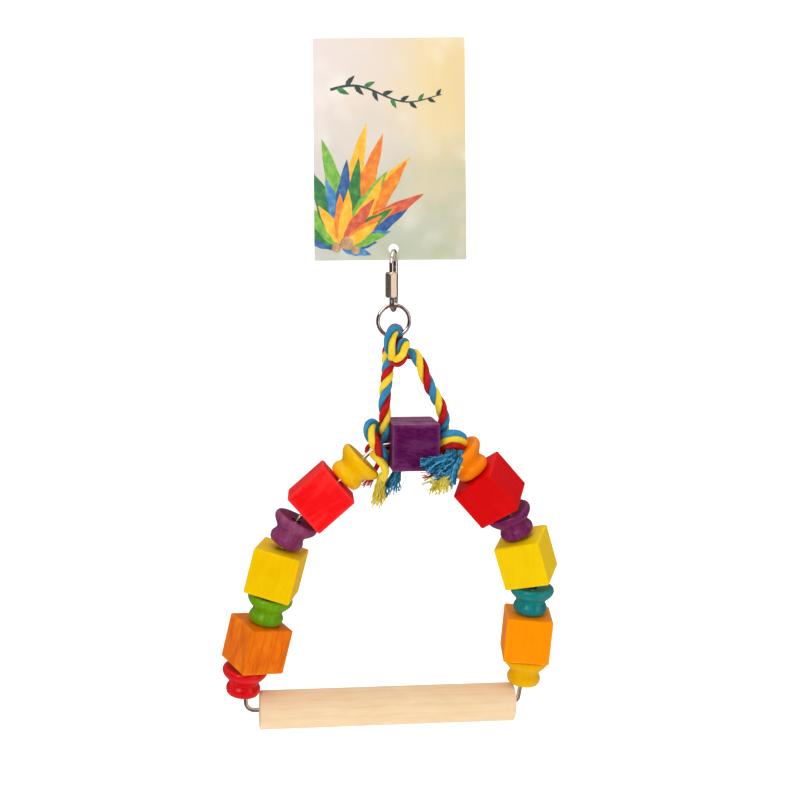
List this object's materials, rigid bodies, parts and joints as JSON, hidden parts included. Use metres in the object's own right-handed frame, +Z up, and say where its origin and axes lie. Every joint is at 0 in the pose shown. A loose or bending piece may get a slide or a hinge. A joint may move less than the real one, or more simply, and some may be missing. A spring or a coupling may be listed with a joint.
{
  "type": "bird swing",
  "caption": "Hanging bird swing: wire arch of dyed wooden cubes and spools, pine perch, twisted cotton rope, ring, quick link and header card.",
  "frame": {"origin": "inside of the quick link's top bend, where it sits on the bar that holds the swing", "axes": "+Z up, along the hanging chain; the arch and perch lie in the X-Z plane, the card faces -Y"},
  "size_m": [0.1901, 0.0569, 0.3792],
  "materials": {
    "card_board": "printed, satin coated",
    "link_metal": "polished nickel plate",
    "nut_metal": "polished nickel plate",
    "ring_metal": "polished nickel plate",
    "rope_cotton": "three-strand twisted cotton, blue, yellow and red",
    "arch_wire": "bright drawn wire",
    "perch_pine": "bare sanded pine",
    "cube_purple_middle_dye": "dyed and waxed wood",
    "cube_red_left_dye": "dyed and waxed wood",
    "cube_yellow_left_dye": "dyed and waxed wood",
    "cube_orange_left_dye": "dyed and waxed wood",
    "cube_red_right_dye": "dyed and waxed wood",
    "cube_yellow_right_dye": "dyed and waxed wood",
    "cube_orange_right_dye": "dyed and waxed wood",
    "spool_yellow_left_dye": "dyed and waxed wood",
    "spool_purple_left_dye": "dyed and waxed wood",
    "spool_green_left_dye": "dyed and waxed wood",
    "spool_red_left_dye": "dyed and waxed wood",
    "spool_orange_right_dye": "dyed and waxed wood",
    "spool_purple_right_dye": "dyed and waxed wood",
    "spool_teal_right_dye": "dyed and waxed wood",
    "spool_yellow_right_dye": "dyed and waxed wood"
  },
  "bodies": {
    "link": {"quick_link": "link_metal"},
    "card": {"header_card": "card_board"},
    "nut": {"link_nut": "nut_metal"},
    "ring": {"hanging_ring": "ring_metal"},
    "rope": {"rope_hitch": "rope_cotton", "rope_leg_left": "rope_cotton", "rope_leg_right": "rope_cotton"},
    "arch": {"wire_frame": "arch_wire", "rope_knot_left": "rope_cotton", "rope_knot_right": "rope_cotton", "rope_tuft_left_front": "rope_cotton", "rope_tuft_left_back": "rope_cotton", "rope_tuft_right_front": "rope_cotton", "rope_tuft_right_low": "rope_cotton"},
    "perch_bar": {"perch": "perch_pine"},
    "cube_purple_middle_bead": {"cube_purple_middle": "cube_purple_middle_dye"},
    "cube_red_left_bead": {"cube_red_left": "cube_red_left_dye"},
    "cube_yellow_left_bead": {"cube_yellow_left": "cube_yellow_left_dye"},
    "cube_orange_left_bead": {"cube_orange_left": "cube_orange_left_dye"},
    "cube_red_right_bead": {"cube_red_right": "cube_red_right_dye"},
    "cube_yellow_right_bead": {"cube_yellow_right": "cube_yellow_right_dye"},
    "cube_orange_right_bead": {"cube_orange_right": "cube_orange_right_dye"},
    "spool_yellow_left_bead": {"spool_yellow_left": "spool_yellow_left_dye"},
    "spool_purple_left_bead": {"spool_purple_left": "spool_purple_left_dye"},
    "spool_green_left_bead": {"spool_green_left": "spool_green_left_dye"},
    "spool_red_left_bead": {"spool_red_left": "spool_red_left_dye"},
    "spool_orange_right_bead": {"spool_orange_right": "spool_orange_right_dye"},
    "spool_purple_right_bead": {"spool_purple_right": "spool_purple_right_dye"},
    "spool_teal_right_bead": {"spool_teal_right": "spool_teal_right_dye"},
    "spool_yellow_right_bead": {"spool_yellow_right": "spool_yellow_right_dye"}
  },
  "joints": [
    {"name": "card_turn", "type": "hinge", "parent": "link", "child": "card", "pos_m": [0, 0, 0.00125], "axis": [-0.1524, -0.9624, 0.225], "range_deg": [-45, 45]},
    {"name": "nut_screw", "type": "slide", "parent": "link", "child": "nut", "axis": [0, 0, 1], "range_m": [0, 0.0037]},
    {"name": "ring_swing", "type": "hinge", "parent": "link", "child": "ring", "pos_m": [0, 0, -0.02935], "axis": [0.309, 0.9511, 0], "range_deg": [-40, 40]},
    {"name": "rope_swing", "type": "hinge", "parent": "ring", "child": "rope", "pos_m": [0, 0, -0.04378], "axis": [1, 0, 0], "range_deg": [-35, 35]},
    {"name": "arch_rock", "type": "hinge", "parent": "rope", "child": "arch", "pos_m": [0.0103, 0, -0.094], "axis": [1, 0, 0], "range_deg": [-25, 25]},
    {"name": "perch_spin", "type": "hinge", "parent": "arch", "child": "perch_bar", "pos_m": [-0.00354, 0, -0.2554], "axis": [0.9992, 0, -0.0391], "continuous": true},
    {"name": "cube_purple_middle_spin", "type": "hinge", "parent": "arch", "child": "cube_purple_middle_bead", "pos_m": [0.0102, 0, -0.1028], "axis": [0.9997, 0, -0.0262], "continuous": true},
    {"name": "cube_red_left_spin", "type": "hinge", "parent": "arch", "child": "cube_red_left_bead", "pos_m": [-0.03981, 0, -0.13023], "axis": [0.7596, 0, 0.6504], "continuous": true},
    {"name": "cube_yellow_left_spin", "type": "hinge", "parent": "arch", "child": "cube_yellow_left_bead", "pos_m": [-0.06465, 0, -0.17116], "axis": [0.2582, 0, 0.9661], "continuous": true},
    {"name": "cube_orange_left_spin", "type": "hinge", "parent": "arch", "child": "cube_orange_left_bead", "pos_m": [-0.07624, 0, -0.21279], "axis": [0.2427, 0, 0.9701], "continuous": true},
    {"name": "cube_red_right_spin", "type": "hinge", "parent": "arch", "child": "cube_red_right_bead", "pos_m": [0.05341, 0, -0.13098], "axis": [-0.6435, 0, 0.7654], "continuous": true},
    {"name": "cube_yellow_right_spin", "type": "hinge", "parent": "arch", "child": "cube_yellow_right_bead", "pos_m": [0.07483, 0, -0.17136], "axis": [-0.2812, 0, 0.9597], "continuous": true},
    {"name": "cube_orange_right_spin", "type": "hinge", "parent": "arch", "child": "cube_orange_right_bead", "pos_m": [0.07605, 0, -0.21745], "axis": [0.0831, 0, 0.9965], "continuous": true},
    {"name": "spool_yellow_left_spin", "type": "hinge", "parent": "arch", "child": "spool_yellow_left_bead", "pos_m": [-0.02231, 0, -0.11569], "axis": [0.7279, 0, 0.6857], "continuous": true},
    {"name": "spool_purple_left_spin", "type": "hinge", "parent": "arch", "child": "spool_purple_left_bead", "pos_m": [-0.05634, 0, -0.14932], "axis": [0.4992, 0, 0.8665], "continuous": true},
    {"name": "spool_green_left_spin", "type": "hinge", "parent": "arch", "child": "spool_green_left_bead", "pos_m": [-0.06979, 0, -0.19274], "axis": [0.2423, 0, 0.9702], "continuous": true},
    {"name": "spool_red_left_spin", "type": "hinge", "parent": "arch", "child": "spool_red_left_bead", "pos_m": [-0.08381, 0, -0.23392], "axis": [0.1298, 0, 0.9915], "continuous": true},
    {"name": "spool_orange_right_spin", "type": "hinge", "parent": "arch", "child": "spool_orange_right_bead", "pos_m": [0.04009, 0, -0.11392], "axis": [-0.606, 0, 0.7954], "continuous": true},
    {"name": "spool_purple_right_spin", "type": "hinge", "parent": "arch", "child": "spool_purple_right_bead", "pos_m": [0.06706, 0, -0.15052], "axis": [-0.4329, 0, 0.9015], "continuous": true},
    {"name": "spool_teal_right_spin", "type": "hinge", "parent": "arch", "child": "spool_teal_right_bead", "pos_m": [0.0781, 0, -0.19617], "axis": [0.0751, 0, 0.9972], "continuous": true},
    {"name": "spool_yellow_right_spin", "type": "hinge", "parent": "arch", "child": "spool_yellow_right_bead", "pos_m": [0.07538, 0, -0.23879], "axis": [0.1031, 0, 0.9947], "continuous": true}
  ]
}
